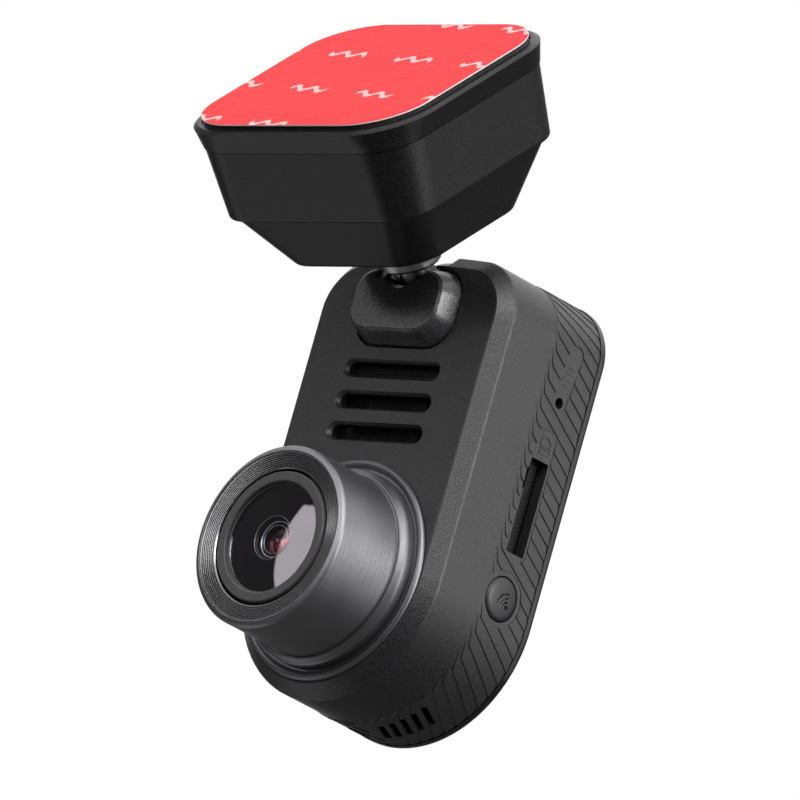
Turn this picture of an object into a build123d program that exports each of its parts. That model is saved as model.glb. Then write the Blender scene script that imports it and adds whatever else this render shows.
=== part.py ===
from build123d import *
import os
from math import sin, cos, tan, radians, degrees, sqrt, atan2, pi

os.makedirs("parts", exist_ok=True)

# ------------------------------------------------------------------
# Dash camera on an adhesive windscreen mount.  Millimetres.
# Row frame: origin at the centre of the mount's adhesive face, +Z up,
# the camera body upright, the lens looking along -Y, +X the card side.
# Two working frames are used and moved into the row frame at export:
#   mount frame : origin on the adhesive face, +Z out of that face
#   camera frame: origin on the lens axis at the front panel's plane
# ------------------------------------------------------------------

# ---- driving dimensions: mount ----
PAD_TILT = 42.4        # rake of the adhesive face about X
PAD_YAW = 4.0          # turn of the mount about its own stem at rest
PAD_HALF = 18.05       # half side of the square pad
PAD_R = 8.4            # pad corner radius
LINER_T = 0.15         # release liner
FOAM_T = 1.0           # foam tape
CAP_TOP = -(LINER_T + FOAM_T)
CAP_RIM_HALF = 19.1    # widest line of the cap's rim
CAP_BOT = -4.05
CAP_BOT_HALF = 17.95
SHELL_TOP = -4.17
SHELL_TOP_HALF = 17.82
SHELL_BOT = -14.25
SHELL_BOT_HALF = 16.85
SHELL_WALL = 1.5
FOOT_TOP = -14.35
FOOT_TOP_HALF = 16.1
FOOT_BOT = -22.4
FOOT_BOT_HALF = 11.9

# ---- driving dimensions: ball joint ----
BALL_DEPTH = 38.0      # adhesive face to ball centre, along the stem
BALL_R = 4.0
NECK_R = 2.0
BOSS_R = 4.35
BOSS_END_R = 3.95
BOSS_TOP = -22.5
BOSS_END = -26.7
SHANK_R = 2.0
SEAT_CLEAR = 0.08
SEAT_R = 5.0
SOCKET_R = 5.08
TILT_MIN, TILT_MAX = -3.0, 42.0
ROLL = 3.0

# ---- driving dimensions: camera body ----
W = 34.6               # body width
RB = W / 2             # bottom arc, centred on the lens axis
ZTOP = 44.15           # top of the body above the lens axis
RTOP = 8.2             # top corner radius
CROWN = 0.35           # crown of the top edge
CH = 1.85              # front chamfer
WALL = 1.6
Y_SEAM = 19.2
Y_BACK = 20.6
PROUD = 0.2            # rear cover stands proud of the side wall
BALL_Y, BALL_Z = 6.0, 33.7   # ball centre in the camera frame

# ---- lens barrel ----
R_BARREL = 12.6
R_RIM_IN = 11.75
Y_RIM = -13.6
R_BASE = 13.6
R_COLLAR = 15.25

# ---- socket cover, speaker slots, side openings ----
COV_X = 8.5
COV_Z0, COV_Z1 = 31.3, 41.9
COV_R = 4.0
COV_H = 3.0
GAP = 0.35
SLOT_Z = (19.25, 23.6, 28.0)
SLOT_L, SLOT_H = 17.2, 2.7
CARD_Y0, CARD_Y1 = 11.95, 15.35
CARD_Z0, CARD_Z1 = 8.0, 21.0
MIC_Y, MIC_Z, MIC_R = 14.1, 29.2, 0.75
BTN_Y, BTN_Z, BTN_R = 13.5, 1.8, 2.9
BTN_TRAVEL = 0.4
USB_Y, USB_Z = 12.95, 14.5

MOUNT = Rot(PAD_TILT, 0, 0) * Rot(0, 0, PAD_YAW)
_by = BALL_DEPTH * sin(radians(PAD_TILT))
_bz = -BALL_DEPTH * cos(radians(PAD_TILT))
CAMERA = Location((0, _by - BALL_Y, _bz - BALL_Z))

nodes = {}


def put(name, shape, loc):
    """Keeps a named piece, moved from its working frame to the row frame."""
    nodes[name] = loc * shape


# ------------------------------------------------------------------
# helpers
# ------------------------------------------------------------------
def rsq(half, r, n, half_v=None):
    """Rounded rectangle face at height n, normal +Z."""
    hv = half if half_v is None else half_v
    return Pos(0, 0, n) * RectangleRounded(2 * half, 2 * hv, r)


def frustum(h0, r0, n0, h1, r1, n1):
    return loft([rsq(h0, r0, n0), rsq(h1, r1, n1)])


def cyl(r, z0, z1, x=0, y=0):
    """Cylinder along Z from z0 to z1."""
    return Pos(x, y, (z0 + z1) / 2) * Cylinder(r, abs(z1 - z0))


def cyl_y(r, y0, y1, x=0, z=0):
    """Cylinder along Y."""
    return Pos(x, (y0 + y1) / 2, z) * Rot(90, 0, 0) * Cylinder(r, abs(y1 - y0))


def cyl_x(r, x0, x1, y=0, z=0):
    """Cylinder along X."""
    return Pos((x0 + x1) / 2, y, z) * Rot(0, 90, 0) * Cylinder(r, abs(x1 - x0))


def box(x0, x1, y0, y1, z0, z1):
    return Pos((x0 + x1) / 2, (y0 + y1) / 2, (z0 + z1) / 2) * Box(
        abs(x1 - x0), abs(y1 - y0), abs(z1 - z0))


def xz_plane(y):
    """Plane whose local x is +X and local y is +Z, at depth y."""
    return Plane(origin=(0, y, 0), x_dir=(1, 0, 0), z_dir=(0, -1, 0))


def prism_y(sketch, y0, y1):
    """Extrudes a sketch drawn in local X/Z from y0 back to y1."""
    return extrude(xz_plane(y1) * sketch, amount=(y1 - y0))


def turned_y(points):
    """Solid of revolution about the Y axis from (radius, y) points."""
    pts = [(p[0], p[1]) for p in points]
    face = make_face(Polyline(*pts, close=True))
    return revolve(face, Axis.Y, 360)


def turned_z(points):
    """Solid of revolution about Z from (radius, z) points."""
    face = make_face(Polyline(*[(p[0], 0, p[1]) for p in points], close=True))
    return revolve(face, Axis.Z, 360)


def body_outline(d=0.0):
    """Outline of the camera body in X/Z, drawn in by d."""
    w = W / 2 - d
    rt = RTOP - d
    zt = ZTOP - d
    line1 = Line((w, 0), (w, zt - rt))
    c1 = ThreePointArc((w, zt - rt), (w - rt * (1 - cos(radians(45))), zt - rt * (1 - sin(radians(45)))), (w - rt, zt))
    top = ThreePointArc((w - rt, zt), (0, zt + CROWN), (-(w - rt), zt))
    c2 = ThreePointArc((-(w - rt), zt), (-(w - rt * (1 - cos(radians(45)))), zt - rt * (1 - sin(radians(45)))), (-w, zt - rt))
    line2 = Line((-w, zt - rt), (-w, 0))
    bot = ThreePointArc((-w, 0), (0, -w), (w, 0))
    return make_face([line1, c1, top, c2, line2, bot])


def screw(r_head, h_head, r_shank, l_shank, axis_loc, recess=True, flat=False):
    """Pan or countersunk screw: head above the local origin plane, shank along -Z."""
    if flat:
        head = turned_z([(0, 0), (r_head, 0), (r_shank, -h_head), (0, -h_head)])
        shank = cyl(r_shank, -l_shank, -h_head)
        top = 0.0
    else:
        head = turned_z([(0, 0), (r_head, 0), (r_head, h_head * 0.45), (r_head * 0.72, h_head), (0, h_head)])
        shank = cyl(r_shank, -l_shank, 0)
        top = h_head
    s = head + shank
    if recess:
        d = h_head * 0.55
        w = r_head * 0.26
        l = r_head * 1.15
        s -= Pos(0, 0, top - d / 2 + 0.005) * Box(l, w, d + 0.01)
        s -= Pos(0, 0, top - d / 2 + 0.005) * Box(w, l, d + 0.01)
    return axis_loc * s


def wedge_yz(a0, a1, half, length, x_half):
    """Sweep of a neck of half width `half` between directions a0 and a1 (degrees
    from +Y towards +Z) about the ball centre, cut x_half either side."""
    pts = []
    def d(a):
        return (cos(radians(a)), sin(radians(a)))
    lo, hi = d(a0), d(a1)
    nlo = (lo[1], -lo[0])
    nhi = (-hi[1], hi[0])
    steps = 6
    pts.append((BALL_Y + nlo[0] * half, BALL_Z + nlo[1] * half))
    pts.append((BALL_Y + nlo[0] * half + lo[0] * length, BALL_Z + nlo[1] * half + lo[1] * length))
    for i in range(steps + 1):
        a = a0 + (a1 - a0) * i / steps
        v = d(a)
        pts.append((BALL_Y + v[0] * length * 1.08, BALL_Z + v[1] * length * 1.08))
    pts.append((BALL_Y + nhi[0] * half + hi[0] * length, BALL_Z + nhi[1] * half + hi[1] * length))
    pts.append((BALL_Y + nhi[0] * half, BALL_Z + nhi[1] * half))
    face = make_face(Polyline(*[(0, p[0], p[1]) for p in pts], close=True))
    return extrude(face, amount=x_half, dir=(1, 0, 0)) + extrude(face, amount=x_half, dir=(-1, 0, 0))


# ==================================================================
# MOUNT
# ==================================================================
# release liner over the tape
put("release_liner", extrude(rsq(PAD_HALF, PAD_R, -LINER_T), amount=LINER_T), MOUNT)

# double-sided foam tape
put("foam_tape_pad", extrude(rsq(PAD_HALF - 0.05, PAD_R - 0.05, CAP_TOP), amount=FOAM_T), MOUNT)

# cap: bevelled rim plate with a locating lip that drops into the shell
CAP_RIM = -0.75
cap = frustum(PAD_HALF + 0.62, PAD_R + 0.45, CAP_RIM, CAP_RIM_HALF, 8.8, CAP_RIM - 0.42)
cap += frustum(CAP_RIM_HALF, 8.8, CAP_RIM - 0.42, CAP_BOT_HALF, 6.5, CAP_BOT)
# the tape sits in a shallow recess in the cap
cap -= extrude(rsq(PAD_HALF + 0.12, PAD_R + 0.1, CAP_TOP), amount=2)
cap += extrude(rsq(SHELL_TOP_HALF - SHELL_WALL - 0.4, 4.7, CAP_BOT), amount=-1.6)
cap -= extrude(rsq(SHELL_TOP_HALF - SHELL_WALL - 1.4, 3.8, CAP_BOT + 0.9), amount=-3.2)
for sx in (-1, 1):
    for sy in (-1, 1):
        cap += cyl(2.0, CAP_BOT - 3.6, CAP_BOT + 1.0, 11.8 * sx, 11.8 * sy)
        cap -= cyl(0.82, CAP_BOT - 3.7, CAP_BOT - 0.2, 11.8 * sx, 11.8 * sy)
put("mount_cap", cap, MOUNT)

# shell: tapering square tub
shell = frustum(SHELL_TOP_HALF, 6.4, SHELL_TOP, SHELL_BOT_HALF, 5.2, SHELL_BOT)
shell = fillet(shell.faces().sort_by(Axis.Z)[0].edges(), 0.55)
inner = frustum(SHELL_TOP_HALF - SHELL_WALL, 5.0, SHELL_TOP + 0.01, SHELL_BOT_HALF - SHELL_WALL + 0.15, 3.9, SHELL_BOT + 1.6)
shell -= inner
shell -= cyl(6.2, SHELL_BOT - 0.1, SHELL_BOT + 1.7)
for sx in (-1, 1):
    for sy in (-1, 1):
        # posts for the cap screws, holes for the foot screws
        shell += cyl(2.0, SHELL_BOT + 1.5, CAP_BOT - 3.68, 11.8 * sx, 11.8 * sy)
        shell -= cyl(1.05, SHELL_BOT + 2.7, CAP_BOT - 3.6, 11.8 * sx, 11.8 * sy)
        shell -= cyl(1.9, SHELL_BOT - 0.1, SHELL_BOT + 2.8, 11.8 * sx, 11.8 * sy)
    shell -= cyl(1.05, SHELL_BOT - 0.1, SHELL_BOT + 1.7, 9.0 * sx, 0)
    shell -= cyl(1.05, SHELL_BOT - 0.1, SHELL_BOT + 1.7, 0, 9.0 * sx)
put("mount_shell", shell, MOUNT)

# cap screws, driven up through the shell into the cap's posts
g = Part()
for sx in (-1, 1):
    for sy in (-1, 1):
        g += screw(1.6, 1.1, 0.8, 6.6, Pos(11.8 * sx, 11.8 * sy, SHELL_BOT + 2.68) * Rot(180, 0, 0))
put("cap_screws", g, MOUNT)

# foot: lower block that narrows to a flat bottom and carries the ball stud
foot = frustum(FOOT_TOP_HALF, 4.9, FOOT_TOP, FOOT_BOT_HALF, 5.1, FOOT_BOT)
foot = fillet(foot.faces().sort_by(Axis.Z)[0].edges(), 0.8)
foot -= frustum(10.6, 4.0, FOOT_TOP + 0.01, 8.8, 3.4, FOOT_BOT + 2.6)
for sx in (-1, 1):
    foot += cyl(2.1, FOOT_BOT + 2.5, FOOT_TOP, 9.0 * sx, 0)
    foot += cyl(2.1, FOOT_BOT + 2.5, FOOT_TOP, 0, 9.0 * sx)
    foot -= cyl(0.82, FOOT_BOT + 1.2, FOOT_TOP + 0.1, 9.0 * sx, 0)
    foot -= cyl(0.82, FOOT_BOT + 1.2, FOOT_TOP + 0.1, 0, 9.0 * sx)
foot -= cyl(SHANK_R + 0.06, FOOT_BOT - 0.1, FOOT_BOT + 2.7)
put("mount_foot", foot, MOUNT)

g = Part()
for p in ((9.0, 0), (-9.0, 0), (0, 9.0), (0, -9.0)):
    g += screw(1.7, 1.1, 0.8, 7.2, Pos(p[0], p[1], SHELL_BOT + 1.62))
put("foot_screws", g, MOUNT)

# ------------------------------------------------------------------
# ball stud: threaded shank, boss, neck and ball
# ------------------------------------------------------------------
zb = -BALL_DEPTH
stud = turned_z([(0, FOOT_BOT + 7.2), (SHANK_R - 0.35, FOOT_BOT + 7.2), (SHANK_R, FOOT_BOT + 6.85), (SHANK_R, BOSS_TOP),
                 (BOSS_R, BOSS_TOP), (BOSS_R, BOSS_TOP - 0.5), (BOSS_END_R, BOSS_END + 0.35), (BOSS_END_R - 0.35, BOSS_END),
                 (2.6, BOSS_END), (2.2, BOSS_END - 0.15), (NECK_R + 0.04, BOSS_END - 0.4), (NECK_R, BOSS_END - 0.7), (NECK_R, zb + 3.2), (0, zb + 3.2)])
ball = Pos(0, 0, zb) * Sphere(BALL_R)
ball -= cyl(6, zb - BALL_R - 1, zb - BALL_R + 0.35)
stud = stud + ball
put("ball_stud", stud, MOUNT)

# wave washer and lock nut that hold the stud in the foot
wash = cyl(3.9, FOOT_BOT + 2.68, FOOT_BOT + 3.18) - cyl(SHANK_R + 0.05, FOOT_BOT + 2.6, FOOT_BOT + 3.3)
put("stud_washer", wash, MOUNT)
nut = extrude(Pos(0, 0, FOOT_BOT + 3.24) * RegularPolygon(3.5, 6, major_radius=False), amount=3.0)
nut &= turned_z([(0, FOOT_BOT + 3.2), (3.5, FOOT_BOT + 3.2), (4.1, FOOT_BOT + 3.6), (4.1, FOOT_BOT + 5.9), (3.5, FOOT_BOT + 6.3), (0, FOOT_BOT + 6.3)])
nut -= cyl(SHANK_R + 0.01, FOOT_BOT + 3, FOOT_BOT + 6.5)
put("stud_nut", nut, MOUNT)

# ==================================================================
# BALL SEAT (two nylon halves, slotted for the neck)
# ==================================================================
C = Pos(0, BALL_Y, BALL_Z)
seat = C * Sphere(SEAT_R) - C * Sphere(BALL_R + SEAT_CLEAR)
A_REST = 90.0 + PAD_TILT                  # stem direction at rest, from +Y
A0, A1 = A_REST - TILT_MAX, A_REST - TILT_MIN
seat -= wedge_yz(A0 - 1.0, A1 + 1.0, NECK_R + 0.15, 9, NECK_R + 0.15)
seat_front = seat & box(-7, 7, BALL_Y - 7, BALL_Y - 0.06, BALL_Z - 7, BALL_Z + 7)
seat_rear = seat & box(-7, 7, BALL_Y + 0.06, BALL_Y + 7, BALL_Z - 7, BALL_Z + 7)
put("ball_seat_front", seat_front, CAMERA)
put("ball_seat_rear", seat_rear, CAMERA)

# ==================================================================
# CAMERA: casing
# ==================================================================
NECK_SLOT = NECK_R + 10.6 * sin(radians(ROLL)) + 0.15
BOSS_SLOT = BOSS_END_R + 11.4 * sin(radians(ROLL)) + 0.15
neck_sweep = wedge_yz(A0 - 1.5, A1 + 1.5, NECK_R + 0.35, 14, NECK_SLOT)
ring = cyl_x(16, -BOSS_SLOT, BOSS_SLOT, BALL_Y, BALL_Z) - cyl_x(10.75, -9, 9, BALL_Y, BALL_Z)
boss_sweep = ring & box(-BOSS_SLOT, BOSS_SLOT, -12, BALL_Y + 6.0, BALL_Z + 3.0, BALL_Z + 14)

# front chamfer with an eased edge at each side, as (inset, depth) steps
EASE = ((CH + 0.16, 0.0), (CH - 0.06, 0.06), (0.12, CH - 0.12), (0.0, CH + 0.17))
house = prism_y(body_outline(), EASE[-1][1], Y_SEAM)
for (d0, y0), (d1, y1) in zip(EASE, EASE[1:]):
    house += loft([xz_plane(y1) * body_outline(d1), xz_plane(y0) * body_outline(d0)], ruled=True)
house -= prism_y(body_outline(WALL), WALL, Y_SEAM + 1)
# stepped rebate at the seam for the rear cover's lip
house -= prism_y(body_outline(WALL - 0.75), Y_SEAM - 1.3, Y_SEAM + 1)

# screw posts in the four corners
POSTS = ((12.4, 38.6), (-12.4, 38.6), (11.2, -8.2), (-11.2, -8.2))
for px, pz in POSTS:
    y_post = WALL - 0.2 if pz > 0 else WALL + 1.6
    house += cyl_y(2.0, y_post, Y_SEAM - 1.5, px, pz) & prism_y(body_outline(0.4), 0.5, Y_SEAM)
    house -= cyl_y(0.75, 9.0, Y_SEAM, px, pz)

# lens opening
R_OPEN = 12.7
house -= cyl_y(R_OPEN, -1, WALL + 0.5)
# three speaker slots
for z in SLOT_Z:
    house -= prism_y(Pos(0, z) * SlotOverall(SLOT_L - 1.0, SLOT_H - 0.7), -1, WALL + 1)
    lip = loft([xz_plane(0.0) * (Pos(0, z) * SlotOverall(SLOT_L, SLOT_H)),
                xz_plane(0.55) * (Pos(0, z) * SlotOverall(SLOT_L - 1.0, SLOT_H - 0.7))])
    house -= lip
# opening for the socket cover, with a small gap all round
house -= prism_y(Pos(0, (COV_Z0 + COV_Z1) / 2) * RectangleRounded(2 * (COV_X + GAP), COV_Z1 - COV_Z0 + 2 * GAP, COV_R + GAP), -1, WALL + 0.5)
# clearance for the neck and the boss of the ball stud
house -= neck_sweep
house -= boss_sweep
# card slot, finger notch and microphone hole on the +X side
house -= box(W / 2 - 3, W / 2 + 1, CARD_Y0, CARD_Y1, CARD_Z0, CARD_Z1)
house -= Pos(W / 2, (CARD_Y0 + CARD_Y1) / 2 - 0.9, 18.1) * Rot(0, 90, 0) * Cylinder(1.75, 1.4)
house -= cyl_x(MIC_R, W / 2 - 3, W / 2 + 1, MIC_Y, MIC_Z)
# button openings on both sides
for s in (-1, 1):
    house -= cyl_x(BTN_R + 0.18, s * (W / 2 - 3), s * (W / 2 + 1), BTN_Y, BTN_Z)
# power socket opening on the -X side
house -= Pos(-W / 2 + 1, USB_Y, USB_Z) * Rot(0, 90, 0) * extrude(SlotOverall(9.7, 3.9), amount=4, both=True)
# bottom vents: two fans of slots, cut along the grooves
VENT_ANG = [9.0 + 6.05 * i for i in range(5)]
for s in (-1, 1):
    for a in VENT_ANG:
        v = Pos(0, 14.2, 0) * Rot(0, -s * a, 0) * Pos(0, 0, -RB) * Rot(0, 0, s * 24) * Box(0.8, 4.3, 6)
        house -= v
put("front_housing", house, CAMERA)

# rear cover, proud of the side wall, with a lip inside the housing
rc = prism_y(body_outline(-PROUD), Y_SEAM + 0.06, Y_BACK)
rc = fillet(rc.faces().sort_by(Axis.Y)[-1].edges(), 0.7)
rc += prism_y(body_outline(WALL - 0.65), Y_SEAM - 1.2, Y_SEAM + 0.1)
rc -= prism_y(body_outline(WALL + 0.6), Y_SEAM - 1.3, Y_SEAM + 0.15)
for px, pz in POSTS:
    rc += cyl_y(2.0, Y_SEAM - 1.2, Y_SEAM + 0.1, px, pz) & prism_y(body_outline(WALL - 0.65), Y_SEAM - 1.5, Y_SEAM + 0.2)
    rc -= cyl_y(1.9, Y_SEAM + 0.35, Y_BACK + 1, px, pz)
    rc -= cyl_y(0.85, Y_SEAM - 2, Y_BACK + 1, px, pz)
# vents high on the rear cover and two light-pipe holes
for i in range(6):
    rc -= prism_y(Pos(0, 22.0 + 2.1 * i) * SlotOverall(15.0, 0.9), Y_SEAM - 1, Y_BACK + 1)
for s in (-1, 1):
    rc -= cyl_y(0.6, Y_SEAM - 1, Y_BACK + 1, 1.8 * s, 4.0)
put("rear_cover", rc, CAMERA)

g = Part()
for px, pz in POSTS:
    g += screw(1.75, 0.55, 0.72, 8.0, Pos(px, Y_SEAM + 0.37, pz) * Rot(-90, 0, 0))
put("housing_screws", g, CAMERA)

# status light pipe, two lenses on one moulding
lp = box(-3.6, 3.6, Y_SEAM - 1.2, Y_SEAM + 0.03, 2.8, 5.2)
for s in (-1, 1):
    lp += cyl_y(0.55, Y_SEAM - 0.2, Y_BACK - 0.05, 1.8 * s, 4.0)
put("status_light_pipe", lp, CAMERA)

# ------------------------------------------------------------------
# socket of the ball joint
# ------------------------------------------------------------------
cz = (COV_Z0 + COV_Z1) / 2
base_f = xz_plane(0) * (Pos(0, cz) * RectangleRounded(2 * COV_X, COV_Z1 - COV_Z0, COV_R))
front_f = xz_plane(-COV_H) * (Pos(0, cz + 0.05) * RectangleRounded(15.3, 8.3, 3.1))
cover = loft([base_f, front_f])
cover = chamfer(cover.faces().sort_by(Axis.Y)[0].edges(), 0.3)
cover += prism_y(Pos(0, cz) * RectangleRounded(2 * COV_X, COV_Z1 - COV_Z0, COV_R), 0, WALL + 0.2)
# retaining flange behind the front wall
cover += prism_y(Pos(0, cz - 0.1) * RectangleRounded(2 * COV_X + 1.7, COV_Z1 - COV_Z0 + 1.4, COV_R + 0.7), WALL + 0.05, WALL + 0.65)
inner_c = loft([xz_plane(WALL + 0.9) * (Pos(0, cz - 0.1) * RectangleRounded(2 * COV_X - 2.4, COV_Z1 - COV_Z0 - 2.4, COV_R - 1.2)),
                xz_plane(-COV_H + 0.85) * (Pos(0, cz) * RectangleRounded(12.6, 6.6, 2.2))])
cover -= inner_c
# U notch with a conical lip in the top front edge
NZ = 42.55
cover -= Pos(0, 0, NZ) * turned_y([(0, -COV_H - 0.4), (4.6, -COV_H - 0.4), (3.5, -COV_H + 0.86), (3.5, WALL + 1), (0, WALL + 1)])
neck_lane = Plane(origin=(0, BALL_Y + 3.0 * cos(radians(A1)), BALL_Z + 3.0 * sin(radians(A1))), x_dir=(1, 0, 0),
                  z_dir=(0, cos(radians(A1 + 0.4)), sin(radians(A1 + 0.4))))
cover -= extrude(neck_lane * SlotOverall(2 * (NECK_R + 0.2) + 1.5, 2 * (NECK_R + 0.2)), amount=11)
cover -= boss_sweep
cover -= C * Sphere(5.6)
put("socket_cover", cover, CAMERA)

# front clamp half and rear bracket half, spherical inside
clamp = box(-8.0, 8.0, 2.5, BALL_Y - 0.1, 27.6, 40.2)
clamp = fillet(clamp.edges().filter_by(Axis.Y), 1.2)
clamp -= C * Sphere(SOCKET_R)
clamp -= neck_sweep
clamp -= cyl_y(3.5, 0, 4, 0, BALL_Z)
brk = box(-8.0, 8.0, BALL_Y + 0.1, 12.8, 27.6, 40.2)
brk = fillet(brk.edges().filter_by(Axis.Y), 1.2)
brk += box(-10.0, 10.0, BALL_Y + 0.1, BALL_Y + 2.2, 29.0, 32.0)
brk -= C * Sphere(SOCKET_R)
brk -= neck_sweep
brk -= box(-4.5, 4.5, 11.9, 14, 30.0, 37.6)
for s in (-1, 1):
    for z in (29.4, 38.2):
        brk -= cyl_y(0.95, 5, 14, 6.6 * s, z)
        brk -= cyl_y(1.7, 11.6, 14, 6.6 * s, z)
        clamp -= cyl_y(0.82, 3.0, 7, 6.6 * s, z)
put("socket_clamp", clamp, CAMERA)
put("socket_bracket", brk, CAMERA)
g = Part()
for s in (-1, 1):
    for z in (29.4, 38.2):
        g += screw(1.6, 1.0, 0.8, 8.3, Pos(6.6 * s, 11.62, z) * Rot(-90, 0, 0))
put("socket_screws", g, CAMERA)

# ------------------------------------------------------------------
# lens: collar, barrel, rings, cell and glass
# ------------------------------------------------------------------
# collar ring: rounded lip round the barrel, seated on the panel
col = turned_y([(12.75, 0.0), (15.1, 0.0), (15.25, -0.18), (15.2, -0.42), (15.0, -0.62), (14.72, -0.68), (14.45, -0.6),
                (14.2, -0.42), (14.0, -0.34), (13.72, -0.34), (13.72, -0.12), (12.75, -0.12)])
put("collar_ring", col, CAMERA)

# base ring between collar and barrel
base = turned_y([(12.68, -0.14), (13.66, -0.14), (13.64, -1.55), (13.5, -1.85), (12.98, -2.35), (12.8, -2.42), (12.68, -2.42)])
put("base_ring", base, CAMERA)

# barrel: tube with bevelled rim, collar flange behind the panel
bar = turned_y([(11.0, WALL + 1.3), (13.9, WALL + 1.3), (13.9, WALL + 0.1), (12.6, WALL + 0.1), (12.6, -2.4), (12.45, -2.46), (12.45, -2.72), (12.6, -2.78),
                (12.6, -13.05), (12.52, -13.22), (12.3, -13.4), (11.85, -13.62), (11.78, -13.62), (11.72, -13.5), (11.72, -12.0), (11.0, -12.0)])
put("lens_barrel", bar, CAMERA)

# front ring: shallow funnel with fine concentric grooves
pts = [(11.66, -12.05), (11.66, -13.45)]
n = 8
r0, r1, y0, y1 = 11.6, 9.55, -13.45, -13.12
for i in range(n):
    ra = r0 + (r1 - r0) * (i + 0.15) / n
    rb = r0 + (r1 - r0) * (i + 0.62) / n
    ya = y0 + (y1 - y0) * (i + 0.15) / n
    pts += [(ra, ya), (rb, ya + 0.04), (rb - 0.03, ya + 0.17), (r0 + (r1 - r0) * (i + 0.98) / n, ya + 0.19)]
pts += [(9.5, -13.1), (9.42, -12.95), (9.42, -12.05)]
put("front_ring", turned_y(pts), CAMERA)

# inner ring round the window: matte grey, stepped inwards
ir = turned_y([(9.1, -11.4), (9.1, -12.95), (9.0, -13.2), (8.86, -13.3), (7.82, -13.3), (7.66, -13.2), (7.6, -13.0), (7.6, -12.75), (7.42, -12.7), (7.42, -11.4)])
put("inner_ring", ir, CAMERA)

# window: shallow domed disc, clear
R_WIN = 7.38
win = turned_y([(0, -12.98), (2.5, -12.95), (5.0, -12.86), (R_WIN, -12.72), (R_WIN, -12.44), (0, -12.44)])
put("front_window", win, CAMERA)

# hood: black stepped cone behind the window, aperture to the lens
hood = turned_y([(10.9, -11.3), (10.9, -9.6), (6.3, -9.6), (6.3, -10.4), (3.7, -10.4), (3.7, -12.0), (3.9, -12.25), (4.3, -12.42), (7.38, -12.42), (7.38, -11.3)])
put("lens_hood", hood, CAMERA)

# threaded cell that holds the lens elements
cell_pts = [(0.0, 0), ]
cell = turned_y([(3.05, -10.15), (2.5, -10.4), (2.5, -11.55), (2.62, -11.7), (2.8, -12.2), (3.05, -12.4), (3.4, -12.4), (3.6, -12.2), (3.6, -10.3), (6.0, -10.3), (6.2, -10.1), (6.2, -5.0), (5.95, -4.8), (5.95, 8.6), (5.0, 8.8), (3.6, 8.8), (3.6, 7.0), (4.4, 6.6), (4.4, -8.0), (3.05, -8.6)])
for i in range(12):
    y = -3.6 + i * 0.9
    cell -= turned_y([(5.7, y), (6.2, y - 0.28), (6.2, y + 0.28)])
put("lens_cell", cell, CAMERA)

# four lens elements
e1 = turned_y([(0, -11.95), (0.6, -11.91), (1.2, -11.78), (1.8, -11.55), (2.2, -11.3), (2.45, -11.05), (2.45, -10.36), (3.0, -10.1), (3.0, -8.35), (4.35, -7.95), (4.35, -7.6), (2.2, -7.5), (1.2, -7.95), (0, -8.2)])
put("front_element", e1, CAMERA)
e2 = turned_y([(0, -6.4), (1.6, -6.25), (3.2, -5.6), (4.35, -5.0), (4.35, -4.2), (2.4, -3.6), (0, -3.3)])
e3 = turned_y([(0, -2.2), (2.2, -1.9), (4.35, -1.2), (4.35, 0.4), (2.0, 0.9), (0, 1.0)])
put("middle_elements", e2 + e3, CAMERA)
e4 = turned_y([(0, 2.6), (2.2, 2.9), (4.35, 3.6), (4.35, 5.4), (2.4, 6.0), (0, 6.2)])
put("rear_element", e4, CAMERA)
sp = turned_y([(3.4, -3.85), (4.35, -4.12), (4.35, -1.28), (3.4, -1.56)]) + turned_y([(3.4, 0.65), (4.35, 0.46), (4.35, 3.52), (3.4, 3.24)])
put("lens_spacers", sp, CAMERA)

# holder screwed to the sensor board, filter and sensor
hold = box(-8.0, 8.0, 9.0, 11.0, -8.0, 8.0)
hold = fillet(hold.edges().filter_by(Axis.Y), 1.0)
hold += cyl_y(7.6, 3.2, 9.1)
hold -= cyl_y(6.02, 3.0, 9.1)
hold -= box(-4.6, 4.6, 8.9, 11.1, -3.6, 3.6)
for s in (-1, 1):
    hold -= cyl_y(0.82, 9.4, 11.2, 6.6 * s, 6.6 * s)
put("lens_holder", hold, CAMERA)
put("infrared_filter", box(-3.4, 3.4, 9.3, 9.6, -2.9, 2.9), CAMERA)
put("image_sensor", box(-4.2, 4.2, 10.2, 11.0, -3.4, 3.4), CAMERA)
sb = box(-8.8, 8.8, 11.02, 11.82, -8.8, 8.8)
sb = fillet(sb.edges().filter_by(Axis.Y), 1.0)
for s in (-1, 1):
    sb -= cyl_y(0.95, 10, 12.5, 6.6 * s, 6.6 * s)
put("sensor_board", sb, CAMERA)
g = Part()
for s in (-1, 1):
    g += screw(1.6, 0.9, 0.8, 2.2, Pos(6.6 * s, 11.84, 6.6 * s) * Rot(-90, 0, 0))
put("sensor_screws", g, CAMERA)
# flat flex from the sensor board to the main board
put("sensor_flex", box(-4.0, 4.0, 11.84, 12.0, -8.0, -4.4) + box(-4.0, 4.0, 11.84, 14.55, -8.16, -8.0), CAMERA)

# ------------------------------------------------------------------
# electronics
# ------------------------------------------------------------------
mb = prism_y(body_outline(WALL + 0.5), 14.6, 15.6) & box(-20, 20, 14, 16, -12.5, 41.0)
for px, pz in POSTS:
    mb -= cyl_y(2.35, 14, 16, px, pz)
put("main_board", mb, CAMERA)
cpu = box(-6.0, 6.0, 15.62, 16.5, 7.0, 19.0)
put("processor", cpu, CAMERA)
hs = box(-10.5, 10.5, 16.9, 17.4, 6.5, 31.0)
for i in range(7):
    hs += box(-10.0 + 3.2 * i, -9.2 + 3.2 * i, 17.3, 17.85, 7.5, 30.0)
hs += box(-5.5, 5.5, 16.52, 16.95, 7.5, 18.5)
put("heat_spreader", hs, CAMERA)
mem = box(-6.5, 6.5, 15.62, 16.5, 21.0, 29.0)
put("memory_chip", mem, CAMERA)

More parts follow.
